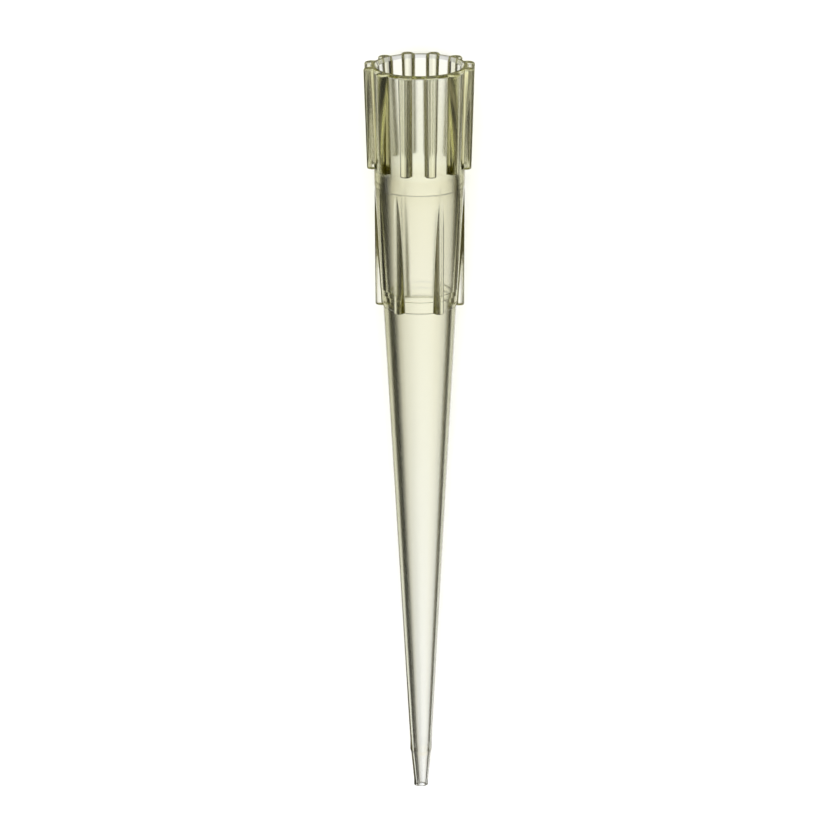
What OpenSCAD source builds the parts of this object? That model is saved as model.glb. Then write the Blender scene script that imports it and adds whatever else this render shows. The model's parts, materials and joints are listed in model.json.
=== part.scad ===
// Ribbed pipette tip, moulded in one piece from clear polypropylene.
//
// A long hollow stem runs from a fine point up to a wider socket, which is pushed onto the
// nose cone of a pipette. Twelve tapered ribs stiffen the collar round the mouth, and six
// fins below them carry the tip in its rack.
//
// The tip is drawn upright on its axis, with its point at the origin, and then laid down.
// It rests on the lower ends of two ribs and on the ring behind its point, with the mouth
// facing +Y.

/* [Overall] */
// Length from the mouth to the end of the point
tip_length = 51; // [49.5:0.5:56]

/* [Collar] */
// Length of the ribbed collar, measured down from the mouth
collar_length = 6.9; // [5:0.1:7]
// Outside diameter of the wall at the mouth, between the ribs
mouth_d = 6.54; // [6.4:0.02:6.8]
// Outside diameter of the wall at the lower ends of the ribs
collar_end_d = 6.1; // [6.08:0.02:6.3]
// Number of ribs, spaced so that two of them straddle the underside
rib_count = 12; // [8:4:12]
// Diameter over the ribs at the mouth
rib_mouth_d = 7.62; // [7.3:0.02:7.8]
// Diameter over the ribs at their lower ends
rib_end_d = 7.18; // [6.9:0.02:7.3]
// Width of a rib at the mouth
rib_mouth_w = 0.9; // [0.8:0.02:1.1]
// Width of a rib at its lower end
rib_end_w = 0.72; // [0.6:0.02:0.8]

/* [Socket wall] */
// Depth below the mouth at which the wall starts to taper
taper_depth = 8.25; // [8.1:0.05:9]
// Outside diameter of the wall where the taper starts
taper_d = 6.06; // [6.0:0.02:6.08]
// Depth of the shoulder below the mouth
shoulder_depth = 16.6; // [16:0.1:18]
// Outside diameter of the wall at the shoulder
shoulder_d = 5.04; // [5.0:0.02:5.2]
// Radius of the rounded edge of the shoulder
shoulder_edge = 0.06; // [0.02:0.01:0.1]

/* [Fins] */
// Number of fins round the socket
fin_count = 6; // [3:3:6]
// Diameter over the fins where they leave the wall
fin_top_d = 6.04; // [5.9:0.02:6.1]
// Diameter over the fins at the shoulder
fin_end_d = 5.96; // [5.7:0.02:6.0]
// Width of a fin
fin_w = 0.64; // [0.5:0.02:0.7]

/* [Bore] */
// Inside diameter just below the mouth
bore_mouth_d = 5.68; // [5.5:0.02:5.8]
// Depth and width of the lead-in chamfer at the mouth
mouth_chamfer = 0.1; // [0.05:0.01:0.14]
// Diameter of the cylindrical band that seals on the pipette
seal_d = 4.54; // [4.4:0.02:5.0]
// Depth of the upper edge of the sealing band below the mouth
seal_depth = 7.4; // [6:0.1:8]
// Height of the sealing band
seal_height = 1.6; // [1:0.1:2]
// Depth of the socket's floor below the mouth
floor_depth = 15.8; // [15:0.1:16]
// Inside diameter of the socket at its floor
floor_d = 4.12; // [3.9:0.02:4.2]
// Height over which that floor slopes in to the stem's bore
ledge_height = 0.1; // [0.05:0.05:0.4]
// Inside diameter of the stem just below the ledge
stem_bore_top_d = 3.72; // [3.5:0.02:3.8]
// Inside diameter of the stem at the ring behind the point
stem_bore_end_d = 0.84; // [0.7:0.02:0.9]
// Diameter of the hole in the point
orifice_d = 0.48; // [0.4:0.02:0.6]

/* [Stem] */
// Outside diameter of the stem just below the shoulder
stem_top_d = 4.92; // [4.8:0.02:5.0]
// Outside diameter of the stem where it meets the ring
stem_end_d = 1.45; // [1.3:0.02:1.46]

/* [Point] */
// Distance from the end of the point to the ring's lower edge
point_length = 2.3; // [2:0.1:3]
// Outside diameter of the ring behind the point
ring_d = 1.46; // [1.46:0.02:1.6]
// Height of the chamfer under the ring
ring_chamfer = 0.32; // [0.1:0.02:0.5]
// Height of the straight band of the ring
ring_height = 0.58; // [0.3:0.02:1]
// Outside diameter of the point just below the ring
point_top_d = 1.31; // [1.2:0.02:1.4]
// Outside diameter at the end of the point
point_end_d = 0.95; // [0.9:0.02:1.1]
// Height of the nearly straight end of the point
point_land = 0.45; // [0.2:0.05:0.8]
// Draft of that end, added to its diameter over its height
point_draft = 0.01; // [0:0.01:0.04]

/* [Hidden] */

$fn = 96;
resin = [0.87, 0.86, 0.70, 0.6];
edge_steps = 4;     // straight steps in a rounded edge
overrun = 1;        // how far a cutter or a rib is drawn past the face that trims it

// Heights above the end of the point
rib_end_z = tip_length - collar_length;
taper_z = tip_length - taper_depth;
shoulder_z = tip_length - shoulder_depth;
seal_top_z = tip_length - seal_depth;
seal_end_z = seal_top_z - seal_height;
floor_z = tip_length - floor_depth;
ledge_z = floor_z - ledge_height;
ring_z = point_length + ring_chamfer;
ring_top_z = ring_z + ring_height;

// Each rib and fin is a round bar, sunk in the wall and leaning with its taper
rib_mouth_r = rib_mouth_w / 2;
rib_end_r = rib_end_w / 2;
rib_mouth_axis = rib_mouth_d / 2 - rib_mouth_r;
rib_end_axis = rib_end_d / 2 - rib_end_r;
fin_r = fin_w / 2;
fin_top_axis = fin_top_d / 2 - fin_r;
fin_end_axis = fin_end_d / 2 - fin_r;
rib_pitch = 360 / rib_count;
fin_pitch = 360 / fin_count;

// Lying pose. Seen from the side, the lower ends of the two lowest ribs and one of the
// edges at the point lie on the floor; the shallowest line from the ribs decides which.
rest_reach = rib_end_axis * cos(rib_pitch / 2) + rib_end_r;
rest_edges = [[0, point_end_d / 2], [ring_z, ring_d / 2], [ring_top_z, ring_d / 2]];
rest_slope = min([for (e = rest_edges) (rest_reach - e[1]) / (rib_end_z - e[0])]);
lean = atan(rest_slope);
axis_height = rest_reach * cos(lean) - rib_end_z * sin(lean);
mouth_reach = rib_mouth_axis * cos(rib_pitch / 2) + rib_mouth_r;
mouth_y = tip_length * cos(lean) + mouth_reach * sin(lean);
point_y = -point_end_d / 2 * sin(lean);

// Quarter of a circle of radius r, from straight down to straight out, round [x, z]
function edge_arc(x, z, r) =
    [for (i = [0 : edge_steps]) let (a = 90 * i / edge_steps) [x + r * sin(a), z - r * cos(a)]];

// Half section of the outside, from the point up to the mouth, closed along the axis
function outer_section() = concat(
    [
        [0, 0],
        [point_end_d / 2, 0],
        [(point_end_d + point_draft) / 2, point_land],
        [point_top_d / 2, point_length],
        [ring_d / 2, ring_z],
        [ring_d / 2, ring_top_z],
        [stem_end_d / 2, ring_top_z],
        [stem_top_d / 2, shoulder_z]
    ],
    edge_arc(shoulder_d / 2 - shoulder_edge, shoulder_z + shoulder_edge, shoulder_edge),
    [
        [taper_d / 2, taper_z],
        [collar_end_d / 2, rib_end_z],
        [mouth_d / 2, tip_length],
        [0, tip_length]
    ]
);

// Half section of the bore, drawn past both of its ends
function bore_section() = [
    [0, -overrun],
    [orifice_d / 2, -overrun],
    [orifice_d / 2, 0],
    [stem_bore_end_d / 2, ring_z],
    [stem_bore_top_d / 2, ledge_z],
    [floor_d / 2, floor_z],
    [seal_d / 2, seal_end_z],
    [seal_d / 2, seal_top_z],
    [bore_mouth_d / 2, tip_length - mouth_chamfer],
    [bore_mouth_d / 2 + mouth_chamfer, tip_length],
    [bore_mouth_d / 2 + mouth_chamfer, tip_length + overrun],
    [0, tip_length + overrun]
];

// Round bar from height z1 to z2, whose axis and radius change evenly between the two
module leaning_bar(z1, axis1, r1, z2, axis2, r2) {
    tilt = atan((axis2 - axis1) / (z2 - z1));
    grow = (r2 - r1) / (z2 - z1);
    translate([axis1, 0, z1])
        rotate([0, tilt, 0])
            translate([0, 0, -overrun])
                cylinder(h = z2 - z1 + 2 * overrun,
                         r1 = r1 - grow * overrun,
                         r2 = r2 + grow * overrun);
}

// Bars in a ring, all trimmed square at heights z1 and z2
module trimmed_ring(count, first_angle, z1, z2, reach) {
    intersection() {
        for (i = [0 : count - 1])
            rotate([0, 0, first_angle + i * 360 / count])
                children();
        translate([0, 0, z1])
            cylinder(h = z2 - z1, r = reach + overrun);
    }
}

module collar_ribs() {
    trimmed_ring(rib_count, rib_pitch / 2, rib_end_z, tip_length, rib_mouth_d / 2)
        leaning_bar(rib_end_z, rib_end_axis, rib_end_r,
                    tip_length, rib_mouth_axis, rib_mouth_r);
}

// The fins fade into the wall where its taper brings it out to their own diameter
module fins() {
    trimmed_ring(fin_count, 0, shoulder_z, taper_z, fin_top_d / 2)
        leaning_bar(shoulder_z, fin_end_axis, fin_r, taper_z, fin_top_axis, fin_r);
}

module upright_tip() {
    difference() {
        union() {
            rotate_extrude() polygon(outer_section());
            collar_ribs();
            fins();
        }
        rotate_extrude() polygon(bore_section());
    }
}

module pipette_tip() {
    color(resin)
        translate([0, -(mouth_y + point_y) / 2, axis_height])
            rotate([lean - 90, 0, 0])
                upright_tip();
}

pipette_tip();
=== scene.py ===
import json
import math

import bmesh
import bpy
from mathutils import Matrix, Vector


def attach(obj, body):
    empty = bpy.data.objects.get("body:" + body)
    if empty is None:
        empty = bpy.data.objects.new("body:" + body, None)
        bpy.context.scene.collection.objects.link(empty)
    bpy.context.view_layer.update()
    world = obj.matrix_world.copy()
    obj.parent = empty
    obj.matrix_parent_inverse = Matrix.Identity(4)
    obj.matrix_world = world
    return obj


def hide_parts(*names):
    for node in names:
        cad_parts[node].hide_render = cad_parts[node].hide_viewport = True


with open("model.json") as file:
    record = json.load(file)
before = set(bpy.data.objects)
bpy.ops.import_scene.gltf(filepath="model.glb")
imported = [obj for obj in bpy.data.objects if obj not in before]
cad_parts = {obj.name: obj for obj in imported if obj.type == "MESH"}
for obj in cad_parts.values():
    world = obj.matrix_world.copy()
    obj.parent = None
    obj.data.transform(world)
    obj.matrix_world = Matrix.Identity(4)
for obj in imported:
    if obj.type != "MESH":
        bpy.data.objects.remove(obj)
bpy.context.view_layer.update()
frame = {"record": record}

mm = 0.001


# One function for every node: its kind, its settings, its socket values and what feeds it
def addNode(tree, kind, settings=None, values=None, links=None):
    node = tree.nodes.new(kind)
    for name, value in (settings or {}).items():
        setattr(node, name, value)
    for socket, value in (values or {}).items():
        node.inputs[socket].default_value = value
    for socket, source in (links or {}).items():
        tree.links.new(source, node.inputs[socket])
    return node


# An sRGB hex colour as the linear colour that the sockets take
def hexColor(text):
    parts = [int(text[i:i + 2], 16) / 255 for i in (1, 3, 5)]
    linear = [p / 12.92 if p <= 0.04045 else ((p + 0.055) / 1.055) ** 2.4 for p in parts]
    return (*linear, 1.0)


# The moulded tip, drawn upright on its axis and laid down at the end. All sizes are in
# millimetres, and heights are measured up from the end of the point.
tip = {
    "sectors": 12,               # one rib in the middle of each
    "columns": 40,               # mesh columns in a sector
    "mouth": 51.0,
    "ribEnd": 44.1,              # lower ends of the ribs
    "stepEnd": 42.78,            # upper end of a tiny step round the wall
    "taperStart": 42.75,         # its lower end, where the wall starts to narrow
    "shoulder": 34.4,
    # outside radius of the wall at those five heights, from the shoulder up
    "wallRadii": (2.52, 3.025, 3.037, 3.05, 3.27),

    "ribAxis": (3.23, 3.36),     # distance of the crest's centre, at the lower end and the mouth
    "ribHalf": (0.36, 0.45),     # half width of a rib, same places
    "ribFillet": 0.08,
    "ribEdge": 0.05,             # radius of the edge round its lower end
    "ribStart": 0.02,            # height over the wall from which a point counts as rib
    "ribSteps": 10,              # mesh steps along a rib
    "ribEndRows": (0.1, 0.92),   # rows on the flat lower end, as shares of the way out
    "belowRibs": 0.2,            # distance of the last plain row under the ribs

    "finAxis": (2.66, 2.70),     # at the shoulder and where the wall starts to narrow
    "finHalf": 0.32,             # half width of a fin
    "finFillet": 0.08,
    # rows along a fin as (height over the shoulder, step, count), finer where it runs out
    "finRows": [(0.3, 0.7, 8), (6.0, 0.2, 11), (8.1, 0.05, 3)],

    "shoulderEdge": 0.09,        # radius of its rounded edge
    "stemTop": 2.46,             # radius of the stem under the shoulder
    # the ring behind the point and the point itself, as (height, radius) from the point up
    "outside": [(0.45, 0.48), (2.3, 0.655), (2.62, 0.73), (3.2, 0.73), (3.2, 0.725)],
    "pointDraft": 0.005,         # by which the point's end is narrower than its first corner
    "pointEdge": 0.03,
    "pointEdgeSteps": 4,
    "pointEndRow": 0.85,         # row on the flat end, as a share of the way out

    "rimEdge": 0.16,             # radius of the rim's outer edge
    "mouthRadius": 2.84,         # of the bore, below the lead-in
    "leadIn": (0.15, 0.28),      # width and height of the chamfer that guides the cone in
    "leadInRow": 0.02,           # distance of the row beside it on the rim
    # the bore as (height, radius), from the mouth down
    "bore": [
        (43.6, 2.27), (42.0, 2.27),      # sealing band
        (35.55, 2.07), (35.5, 1.97),     # floor of the socket, a fine step in towards the stem
        (35.15, 1.96), (35.1, 1.86),     # second step of the floor
        (2.62, 0.42),                    # inside the ring
    ],
    "orifice": 0.24,             # radius of the hole in the point
    "coreShift": 0.05,           # the core pin stands a little off the axis, towards +X
    "coreShiftDepth": 6.0,       # depth below the mouth by which it has grown to that

    "support": 0.05,             # distance of the rows that keep a corner crisp
    "supportShare": 0.3,         # and the most of a short side that they take
    "faceRow": 0.9,              # row on the rim and under the shoulder, as a share of the way out
    "apart": 0.001,              # keeps a row from merging with the row before it
    "smoothAngle": 40,           # degrees, past which an edge stays sharp
}
wallHeights = [tip[name] for name in ("shoulder", "taperStart", "stepEnd", "ribEnd", "mouth")]
wallProfile = list(zip(wallHeights, tip["wallRadii"]))
sectorAngle = 2 * math.pi / tip["sectors"]
halfSector = sectorAngle / 2
perSector = tip["columns"]
perHalf = perSector // 2
allColumns = tip["sectors"] * perSector

# The tip's axis as the CAD model lies, from its socket mount, which is in the middle of the
# sealing band
socket = next(m for m in frame["record"]["mounts"] if m["name"] == "socket")
(sealTop, _), (sealEnd, _) = tip["bore"][:2]
tipAxis = Vector(socket["axis"]).normalized()
pointEnd = Vector(socket["pos_m"]) - (sealTop + sealEnd) / 2 * mm * tipAxis
lean = math.asin(tipAxis.z)
layDown = Matrix.Translation(pointEnd) @ Matrix.Rotation(lean - math.pi / 2, 4, "X")


def between(low, high, t):
    return low + (high - low) * t


# Outside radius of the wall at a height, between the ribs and fins
def wallRadius(z):
    for (z1, r1), (z2, r2) in zip(wallProfile, wallProfile[1:]):
        if z1 <= z <= z2:
            return between(r1, r2, (z - z1) / (z2 - z1))
    return wallProfile[-1][1] if z > wallProfile[-1][0] else wallProfile[0][1]


# Half of the outline of one rib or fin, as (angle, radius) from the middle of its crest to
# the edge of its half sector: round crest, straight side, root fillet, wall
def halfOutline(wall, axis, half, fillet):
    crest, root = 8, 4      # mesh steps round the crest and round the fillet
    reach = wall + fillet
    cosRoot = (reach ** 2 + axis ** 2 - (half + fillet) ** 2) / (2 * axis * reach)
    if cosRoot >= 1:    # it has run out into the wall
        return [(halfSector * j / perHalf, wall) for j in range(perHalf + 1)]
    rootAngle = math.acos(cosRoot)
    centre = Vector((reach * math.cos(rootAngle), reach * math.sin(rootAngle)))
    contact = math.atan2(centre.y, centre.x - axis)
    if contact > math.pi / 2:
        # the fillet meets the straight side, and not the round crest
        contact = math.pi / 2
        centre = Vector((math.sqrt(reach ** 2 - (half + fillet) ** 2), half + fillet))
    points = [
        Vector((axis + half * math.cos(a), half * math.sin(a)))
        for a in (between(0, contact, j / crest) for j in range(crest + 1))
    ]
    start = math.atan2(-math.sin(contact), -math.cos(contact))
    end = math.atan2(-centre.y, -centre.x)
    points += [
        centre + fillet * Vector((math.cos(a), math.sin(a)))
        for a in (between(start, end, j / root) for j in range(root + 1))
    ]
    outline = [(math.atan2(p.y, p.x), p.length) for p in points]
    steps = perHalf - len(outline) + 1
    foot = outline[-1][0]
    outline += [(between(foot, halfSector, j / steps), wall) for j in range(1, steps + 1)]
    return outline


# A row of the mesh has one (height, angle, radius) for each column. Ribs stand in the middle
# of every sector; fins stand on every second edge between two sectors.
def roundRow(z, radius):
    return [(z, 2 * math.pi * c / allColumns, radius) for c in range(allColumns)]


def ribRow(z, outline):
    row = []
    for c in range(allColumns):
        sector, step = divmod(c, perSector)
        side = step - perHalf
        angle, radius = outline[abs(side)]
        row.append((z, (sector + 0.5) * sectorAngle + math.copysign(angle, side), radius))
    return row


def finRow(z, outline, wall):
    row = []
    for c in range(allColumns):
        sector, step = divmod(c, perSector)
        mirrored = sector % 2
        if mirrored:
            step = perSector - step
        angle, radius = sectorAngle * step / perSector, wall
        if step <= perHalf:
            angle, radius = outline[step]
        if mirrored:
            angle = sectorAngle - angle
        row.append((z, sector * sectorAngle + angle, radius))
    return row


# The row's own angles on the flat face beside it, at a share of the way out from a radius
def flatRow(row, radius, share=0.0):
    return [(z, angle, between(radius, rim, share)) for z, angle, rim in row]


def ribOutline(z, inset=0.0, wallInset=0.0):
    t = (z - tip["ribEnd"]) / (tip["mouth"] - tip["ribEnd"])
    half = between(*tip["ribHalf"], t) - inset
    return halfOutline(wallRadius(z) - wallInset, between(*tip["ribAxis"], t), half,
                       tip["ribFillet"] + wallInset)


def finOutline(z, inset=0.0):
    t = (z - tip["shoulder"]) / (tip["taperStart"] - tip["shoulder"])
    return halfOutline(wallRadius(z) - inset, between(*tip["finAxis"], t),
                       tip["finHalf"] - inset, tip["finFillet"] + inset)


# Steps of a rounded edge, as the distances in and up from its two faces
def edgeSteps(radius, steps=5):
    turns = [math.pi / 2 * i / steps for i in range(steps + 1)]
    return [(radius * (1 - math.sin(a)), radius * (1 - math.cos(a))) for a in turns]


# Rows along a profile, with support rows beside its corners. Without its start, it goes on
# from the row before.
def turnedRows(profile, start=True):
    rows = []
    for i, ((z1, r1), (z2, r2)) in enumerate(zip(profile, profile[1:])):
        length = math.hypot(z2 - z1, r2 - r1)
        near = min(tip["support"] / length, tip["supportShare"])
        for t in (0, near, 1 - near):
            if t or i or start:
                rows.append(roundRow(between(z1, z2, t), between(r1, r2, t)))
    rows.append(roundRow(*profile[-1]))
    return rows


def outsideRows():
    support = tip["support"]
    rows = []

    # outside of the point, its end edge rounded, then the ring and the stem
    endRadius = tip["outside"][0][1] - tip["pointDraft"]
    steps = edgeSteps(tip["pointEdge"], tip["pointEdgeSteps"])
    edge = [(up, endRadius - inward) for inward, up in steps]
    rows.append(roundRow(0, between(tip["orifice"], edge[0][1], tip["pointEndRow"])))
    rows += [roundRow(z, radius) for z, radius in edge]
    stem = (tip["shoulder"], tip["stemTop"])
    rows += turnedRows([edge[-1], *tip["outside"], stem], start=False)

    # shoulder with the fins' lower ends
    for inward, up in edgeSteps(tip["shoulderEdge"]):
        z = tip["shoulder"] + up
        row = finRow(z, finOutline(z, inward), wallRadius(z) - inward)
        if not up:
            rows.append(flatRow(row, tip["stemTop"] + tip["apart"]))
            rows.append(flatRow(row, tip["stemTop"], tip["faceRow"]))
        rows.append(row)

    # fins, and the plain wall between them and the ribs
    heights = [tip["shoulder"] + tip["shoulderEdge"] + support]
    for first, step, count in tip["finRows"]:
        heights += [tip["shoulder"] + first + step * i for i in range(count)]
    rows += [finRow(z, finOutline(z), wallRadius(z)) for z in heights]
    for z in (tip["taperStart"] - support, tip["taperStart"], tip["stepEnd"],
              tip["stepEnd"] + support, tip["ribEnd"] - tip["belowRibs"]):
        rows.append(roundRow(z, wallRadius(z)))

    # lower ends of the ribs
    for inward, up in edgeSteps(tip["ribEdge"]):
        z = tip["ribEnd"] + up
        row = ribRow(z, ribOutline(z, inward))
        if not up:
            rows += [flatRow(row, wallRadius(z), share) for share in (0, *tip["ribEndRows"])]
        rows.append(row)

    # ribs up to the rounded edge of the rim
    low = tip["ribEnd"] + tip["ribEdge"] + support
    high = tip["mouth"] - tip["rimEdge"] - support
    for i in range(tip["ribSteps"] + 1):
        z = between(low, high, i / tip["ribSteps"])
        rows.append(ribRow(z, ribOutline(z)))
    for inward, up in reversed(edgeSteps(tip["rimEdge"])):
        z = tip["mouth"] - up
        rows.append(ribRow(z, ribOutline(z, inward, inward)))
    rows.append(flatRow(rows[-1], tip["mouthRadius"], tip["faceRow"]))
    return rows


# From the inner edge of the rim, down the bore to the hole in the point
def boreRows():
    width, height = tip["leadIn"]
    rimRadius = tip["mouthRadius"] + width
    leadIn = [(tip["mouth"], rimRadius), (tip["mouth"] - height, tip["mouthRadius"])]
    rows = [roundRow(tip["mouth"], rimRadius + tip["leadInRow"])]
    rows += turnedRows([*leadIn, *tip["bore"], (0.0, tip["orifice"])])
    return rows


# Where a point of a row lies; inBore is 1 in the bore, which stands off the axis, or else 0
def rowPoint(z, angle, radius, inBore):
    shift = tip["coreShift"] * inBore * min(1, (tip["mouth"] - z) / tip["coreShiftDepth"])
    return Vector((radius * math.cos(angle) + shift, radius * math.sin(angle), z)) * mm


def buildTip():
    rows = [(row, 0.0) for row in outsideRows()] + [(row, 1.0) for row in boreRows()]
    bpy.ops.object.select_all(action="DESELECT")
    bpy.ops.mesh.primitive_circle_add(vertices=allColumns, radius=tip["orifice"] * mm,
                                      location=(0, 0, 0))
    piece = bpy.context.object
    piece.name = piece.data.name = "mouldedTip"
    bpy.ops.object.mode_set(mode="EDIT")
    bpy.ops.mesh.select_all(action="SELECT")
    shell = bmesh.from_edit_mesh(piece.data)
    column = shell.verts.layers.int.new("column")
    shell.verts.layers.float.new("bore")
    shell.verts.layers.float.new("rib")
    for v in shell.verts:
        turn = math.atan2(v.co.y, v.co.x) / (2 * math.pi)
        v[column] = round(turn * allColumns) % allColumns

    # each row is drawn out of the last one, and its columns take their places; where a row
    # lies is kept on its points, for the material
    for row, inBore in rows:
        bpy.ops.mesh.extrude_region_move()
        shell = bmesh.from_edit_mesh(piece.data)
        column = shell.verts.layers.int["column"]
        bore = shell.verts.layers.float["bore"]
        rib = shell.verts.layers.float["rib"]
        for v in shell.verts:
            if v.select:
                z, angle, radius = row[v[column]]
                v.co = rowPoint(z, angle, radius, inBore)
                v[bore] = inBore
                v[rib] = float(not inBore and radius > wallRadius(z) + tip["ribStart"])
        bmesh.update_edit_mesh(piece.data)

    bpy.ops.mesh.select_all(action="SELECT")
    bpy.ops.mesh.remove_doubles(threshold=1e-7)
    bpy.ops.mesh.dissolve_degenerate(threshold=1e-8)
    bpy.ops.mesh.normals_make_consistent(inside=False)
    bpy.ops.object.mode_set(mode="OBJECT")
    piece.data.attributes.remove(piece.data.attributes["column"])
    bpy.ops.object.shade_smooth_by_angle(angle=math.radians(tip["smoothAngle"]))
    piece.matrix_world = layDown
    bpy.ops.object.transform_apply(location=True, rotation=True, scale=True)
    return piece


mouldedTip = buildTip()
print("tip modelled,", len(mouldedTip.data.polygons), "faces")


# Clear homopolymer polypropylene, injection moulded in a polished steel cavity and tinted by
# nothing but the resin. The eye sees clear walls with a yellow-green cast that deepens where
# light runs along them, a soft haze, and a surface that is glossy but not quite flat.
polypropylene = {
    "ior": 1.49,
    "absorbs": "#e9e76f",        # the colour that white light turns to on its way through
    "density": 262.0,            # per metre
    "roughness": (0.05, 0.09),   # of the outside, from one flow line to the next
    "boreRoughness": 0.12,       # added in the bore, by the core pin
    "ribRoughness": 0.09,        # added on ribs and fins, as slots in the mould polish badly
    "wave": 1.6,                 # mm between the mould's own shallow waves
    "waveHeight": 0.0012,        # mm
    "waveDetail": 1.0,
    "waveSoftness": 0.4,         # roughness of the noise that makes the waves
    "flow": (0.25, 6.0),         # mm across and along the faint flow lines
    "flowHeight": 0.0003,        # mm
    "flowDetail": 2.0,
    "flowSpread": (0.3, 0.7),    # the part of its range that the flow noise really fills
}


def makePolypropylene():
    material = bpy.data.materials.new("clearMouldedPolypropylene")
    material.use_nodes = True
    tree = material.node_tree
    tree.nodes.clear()
    place = addNode(tree, "ShaderNodeTexCoord").outputs["Object"]
    waves = addNode(tree, "ShaderNodeTexNoise",
                    values={"Scale": 1 / (polypropylene["wave"] * mm),
                            "Detail": polypropylene["waveDetail"],
                            "Roughness": polypropylene["waveSoftness"]},
                    links={"Vector": place})
    across, along = polypropylene["flow"]
    stretched = addNode(tree, "ShaderNodeMapping",
                        values={"Scale": (1, across / along, 1)}, links={"Vector": place})
    flow = addNode(tree, "ShaderNodeTexNoise",
                   values={"Scale": 1 / (across * mm), "Detail": polypropylene["flowDetail"]},
                   links={"Vector": stretched.outputs["Vector"]})

    # haze: a little more and less with the flow lines, more in the bore and on the ribs
    least, most = polypropylene["flowSpread"]
    low, high = polypropylene["roughness"]
    haze = addNode(tree, "ShaderNodeMapRange",
                   values={"From Min": least, "From Max": most, "To Min": low, "To Max": high},
                   links={"Value": flow.outputs["Fac"]})
    bore = addNode(tree, "ShaderNodeAttribute", settings={"attribute_name": "bore"})
    withBore = addNode(tree, "ShaderNodeMath", settings={"operation": "MULTIPLY_ADD"},
                       values={1: polypropylene["boreRoughness"]},
                       links={0: bore.outputs["Fac"], 2: haze.outputs["Result"]})
    rib = addNode(tree, "ShaderNodeAttribute", settings={"attribute_name": "rib"})
    roughness = addNode(tree, "ShaderNodeMath", settings={"operation": "MULTIPLY_ADD"},
                        values={1: polypropylene["ribRoughness"]},
                        links={0: rib.outputs["Fac"], 2: withBore.outputs["Value"]})

    waveBump = addNode(tree, "ShaderNodeBump",
                       values={"Strength": 1.0, "Distance": polypropylene["waveHeight"] * mm},
                       links={"Height": waves.outputs["Fac"]})
    flowBump = addNode(tree, "ShaderNodeBump",
                       values={"Strength": 1.0, "Distance": polypropylene["flowHeight"] * mm},
                       links={"Height": flow.outputs["Fac"],
                              "Normal": waveBump.outputs["Normal"]})
    surface = addNode(tree, "ShaderNodeBsdfPrincipled",
                      values={"Base Color": (1, 1, 1, 1), "Transmission Weight": 1.0,
                              "IOR": polypropylene["ior"]},
                      links={"Roughness": roughness.outputs["Value"],
                             "Normal": flowBump.outputs["Normal"]})
    inside = addNode(tree, "ShaderNodeVolumeAbsorption",
                     values={"Color": hexColor(polypropylene["absorbs"]),
                             "Density": polypropylene["density"]})
    addNode(tree, "ShaderNodeOutputMaterial",
            links={"Surface": surface.outputs["BSDF"], "Volume": inside.outputs["Volume"]})
    return material


mouldedTip.data.materials.append(makePolypropylene())
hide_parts("pipette_tip")
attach(mouldedTip, "root")
print("material made")


# Studio: a white table, a lit sheet under the tip, dark gaps beside it, soft lights at the sides
studio = {
    "floorSize": 12.0,           # m
    "floor": "#f2f2f0",
    "backdrop": 1.0,
    "table": 1.6,                # soft light on the table
    # panels round the tip's axis, from and to in degrees from straight down towards +X,
    # with their level and their warmth
    "panels": [
        (-145, -106, 0.30, 0.55),    # over the left side
        (-85, -70, 0.12, 0.50),      # left side
        (-27, -16, 0.70, 0.08),      # the sheet's left edge
        (-16, -7, 0.92, 0.00),
        (-7, 4, 1.16, 0.00),         # its lamp
        (4, 28, 0.98, 0.02),
        (50, 61, 0.26, 0.30),        # narrow strip on the right
        (74, 94, 0.26, 0.40),        # right side
        (106, 136, 0.45, 0.55),      # over the right side
    ],
    "panelEdge": 2.5,            # degrees either way in which a panel fades
    "dark": 0.02,                # level between the panels
    "warmGreen": 0.25,           # green that a warm light loses, as a share of the blue it loses
    # level and warmth of the panels along the axis, by how far the way to the light points to
    # the mouth: 1 is straight along the axis to the mouth, -1 straight to the point
    "along": [
        (-0.60, 0.75, -0.04), (-0.45, 0.90, -0.04), (-0.30, 1.00, -0.04), (-0.27, 1.00, 0.06),
        (-0.18, 0.90, 0.10), (-0.13, 0.20, 0.10), (-0.04, 0.50, 0.10), (0.15, 0.45, 0.10),
        (0.30, 0.10, 0.10),
    ],
    # plain light instead of the panels, for ways close to the axis and level ways to -X
    "plainSlope": (0.42, 0.58),  # it comes in between these two shares of the axis
    "plainSide": (0.93, 0.98),   # and these two shares of -X
    "plainMiddle": -0.25,        # height of its bright part, a little below the horizon
    "plainTilt": (0.35, 0.75),   # it dims between these two distances from there
    "level": 0.95,               # its level in the middle
    "steep": 0.30,               # and far above or below
    "bounces": 32,               # light passes many walls, ribs and fins
    "glossyBounces": 16,
}


# A matte white laminate table, even and without gloss. It hides from rays that have met the
# tip, which see the studio's panels in its place.
def makeFloor():
    bpy.ops.object.select_all(action="DESELECT")
    bpy.ops.mesh.primitive_plane_add(size=studio["floorSize"], location=(0, 0, 0))
    floor = bpy.context.object
    floor.name = "studioFloor"
    paint = bpy.data.materials.new("matteWhiteTable")
    paint.use_nodes = True
    tree = paint.node_tree
    tree.nodes.clear()
    surface = addNode(tree, "ShaderNodeBsdfDiffuse",
                      values={"Color": hexColor(studio["floor"])})
    addNode(tree, "ShaderNodeOutputMaterial", links={"Surface": surface.outputs["BSDF"]})
    floor.data.materials.append(paint)
    floor.visible_transmission = False
    floor.visible_glossy = False
    floor.visible_shadow = False
    return floor


# Colour of light with a given warmth: a little less green and much less blue
def warmLight(level, warmth):
    return (level, level * (1 - studio["warmGreen"] * warmth), level * (1 - warmth), 1)


# A new ramp has two stops, so the rest are added before all get their places and colours
def fillRamp(ramp, stops):
    elements = ramp.color_ramp.elements
    for _ in stops[2:]:
        elements.new(1.0)
    for element, (position, color) in zip(elements, stops):
        element.position = position
        element.color = color


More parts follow.
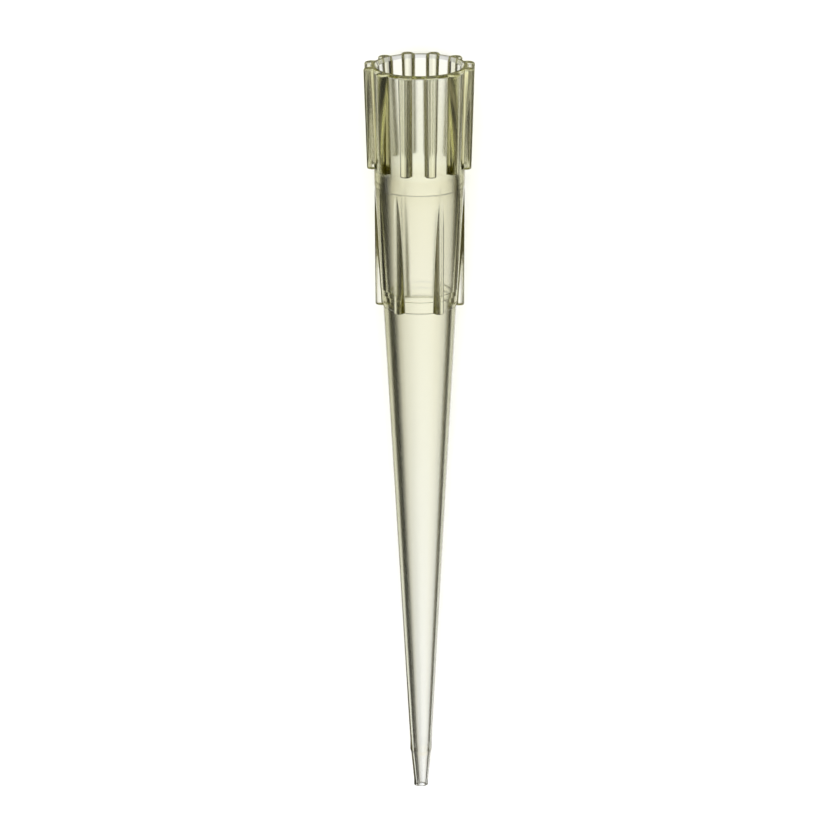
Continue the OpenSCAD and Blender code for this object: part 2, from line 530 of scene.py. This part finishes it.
def makeWorld():
    world = bpy.data.worlds.new("studioLight")
    bpy.context.scene.world = world
    world.use_nodes = True
    world.cycles.sampling_method = "NONE"
    tree = world.node_tree
    tree.nodes.clear()

    # a ray's way, and how much of it goes along the axis, down from it, to +X and up
    way = addNode(tree, "ShaderNodeTexCoord").outputs["Generated"]
    path = addNode(tree, "ShaderNodeLightPath")
    parts = {}
    directions = {"slope": tipAxis, "down": layDown.to_3x3() @ Vector((0, 1, 0)),
                  "side": Vector((1, 0, 0)), "up": Vector((0, 0, 1))}
    for name, direction in directions.items():
        part = addNode(tree, "ShaderNodeVectorMath", settings={"operation": "DOT_PRODUCT"},
                       values={1: direction}, links={0: way})
        parts[name] = part.outputs["Value"]

    # panels round the axis, on a ramp that runs once round it; two that touch share an edge
    turn = addNode(tree, "ShaderNodeMath", settings={"operation": "ARCTAN2"},
                   links={0: parts["side"], 1: parts["down"]})
    turnPlace = addNode(tree, "ShaderNodeMath", settings={"operation": "MULTIPLY_ADD"},
                        values={1: 0.5 / math.pi, 2: 0.5}, links={0: turn.outputs["Value"]})
    panels = addNode(tree, "ShaderNodeValToRGB", links={"Fac": turnPlace.outputs["Value"]})
    starts = [start for start, _, _, _ in studio["panels"]]
    ends = [end for _, end, _, _ in studio["panels"]]
    dark = warmLight(studio["dark"], 0)
    stops = []
    for start, end, level, warmth in studio["panels"]:
        color = warmLight(level, warmth)
        if start not in ends:
            stops.append((start - studio["panelEdge"], dark))
        stops += [(start + studio["panelEdge"], color), (end - studio["panelEdge"], color)]
        if end not in starts:
            stops.append((end + studio["panelEdge"], dark))
    fillRamp(panels, [(degrees / 360 + 0.5, color) for degrees, color in stops])

    # the same panels along the axis, on a ramp from the point's way to the mouth's; a Mix
    # node's colours go in at 6 and 7 and come out at 2
    slopePlace = addNode(tree, "ShaderNodeMath", settings={"operation": "MULTIPLY_ADD"},
                         values={1: 0.5, 2: 0.5}, links={0: parts["slope"]})
    along = addNode(tree, "ShaderNodeValToRGB", links={"Fac": slopePlace.outputs["Value"]})
    fillRamp(along, [(slope / 2 + 0.5, warmLight(level, warmth))
                     for slope, level, warmth in studio["along"]])
    lit = addNode(tree, "ShaderNodeMix",
                  settings={"data_type": "RGBA", "blend_type": "MULTIPLY"}, values={0: 1.0},
                  links={6: panels.outputs["Color"], 7: along.outputs["Color"]})

    # plain light: bright near the horizon, dim above and below
    tilt = addNode(tree, "ShaderNodeMath", settings={"operation": "SUBTRACT"},
                   values={1: studio["plainMiddle"]}, links={0: parts["up"]})
    offHorizon = addNode(tree, "ShaderNodeMath", settings={"operation": "ABSOLUTE"},
                         links={0: tilt.outputs["Value"]})
    low, high = studio["plainTilt"]
    plain = addNode(tree, "ShaderNodeMapRange", settings={"interpolation_type": "SMOOTHSTEP"},
                    values={"From Min": low, "From Max": high,
                            "To Min": studio["level"], "To Max": studio["steep"]},
                    links={"Value": offHorizon.outputs["Value"]})
    steepness = addNode(tree, "ShaderNodeMath", settings={"operation": "ABSOLUTE"},
                        links={0: parts["slope"]})
    low, high = studio["plainSlope"]
    alongAxis = addNode(tree, "ShaderNodeMapRange",
                        settings={"interpolation_type": "SMOOTHSTEP"},
                        values={"From Min": low, "From Max": high},
                        links={"Value": steepness.outputs["Value"]})
    low, high = studio["plainSide"]
    sideways = addNode(tree, "ShaderNodeMapRange",
                       settings={"interpolation_type": "SMOOTHSTEP"},
                       values={"From Min": -low, "From Max": -high},
                       links={"Value": parts["side"]})
    isPlain = addNode(tree, "ShaderNodeMath", settings={"operation": "MAXIMUM"},
                      links={0: alongAxis.outputs["Result"], 1: sideways.outputs["Result"]})
    seen = addNode(tree, "ShaderNodeMix", settings={"data_type": "RGBA"},
                   links={0: isPlain.outputs["Value"], 6: lit.outputs[2],
                          7: plain.outputs["Result"]})

    # the table's own light, and the backdrop behind it
    onTable = addNode(tree, "ShaderNodeMath", settings={"operation": "GREATER_THAN"},
                      values={1: 0.5}, links={0: path.outputs["Diffuse Depth"]})
    withTable = addNode(tree, "ShaderNodeMix", settings={"data_type": "RGBA"},
                        values={7: warmLight(studio["table"], 0)},
                        links={0: onTable.outputs["Value"], 6: seen.outputs[2]})
    final = addNode(tree, "ShaderNodeMix", settings={"data_type": "RGBA"},
                    values={7: warmLight(studio["backdrop"], 0)},
                    links={0: path.outputs["Is Camera Ray"], 6: withTable.outputs[2]})
    background = addNode(tree, "ShaderNodeBackground", links={"Color": final.outputs[2]})
    addNode(tree, "ShaderNodeOutputWorld",
            links={"Surface": background.outputs["Background"]})


makeFloor()
makeWorld()
scene = bpy.context.scene
scene.view_settings.view_transform = "Standard"
scene.cycles.max_bounces = studio["bounces"]
scene.cycles.transmission_bounces = studio["bounces"]
scene.cycles.glossy_bounces = studio["glossyBounces"]
print("studio set")


# The camera looks down on the tip from the mouth's side
view = {
    "distance": 464.0,           # mm from the middle of the axis
    "rise": 17.5,                # degrees towards the mouth
    "orbit": 1.5,                # degrees round the axis towards +X
    "lens": 293.9,               # mm
    "sensor": 36.0,              # mm
    "clip": (0.01, 20.0),        # m
    "above": 0.70,               # mm from the middle of the axis up to the centre of the view
    "right": -0.01,              # mm to the right, the same
    "roll": 0.14,                # degrees
}


def makeCamera():
    rise, orbit = math.radians(view["rise"]), math.radians(view["orbit"])
    along = Vector((math.sin(orbit) * math.cos(rise),
                    -math.cos(orbit) * math.cos(rise), math.sin(rise)))
    back = (layDown.to_3x3() @ along).normalized()
    middle = layDown @ Vector((0, 0, tip["mouth"] / 2 * mm))
    right = tipAxis.cross(back).normalized()
    up = back.cross(right)
    place = middle + back * view["distance"] * mm

    # aimed a little beside the middle, and rolled
    target = middle + (up * view["above"] + right * view["right"]) * mm
    back = (place - target).normalized()
    right = tipAxis.cross(back).normalized()
    turn = Matrix.Rotation(math.radians(-view["roll"]), 3, back)
    right = turn @ right
    up = back.cross(right)

    bpy.ops.object.select_all(action="DESELECT")
    bpy.ops.object.camera_add(location=place)
    camera = bpy.context.object
    camera.name = "studioCamera"
    camera.rotation_euler = Matrix((right, up, back)).transposed().to_euler()
    camera.data.lens = view["lens"]
    camera.data.sensor_width = view["sensor"]
    camera.data.clip_start, camera.data.clip_end = view["clip"]
    bpy.context.scene.camera = camera


makeCamera()
print("camera set")
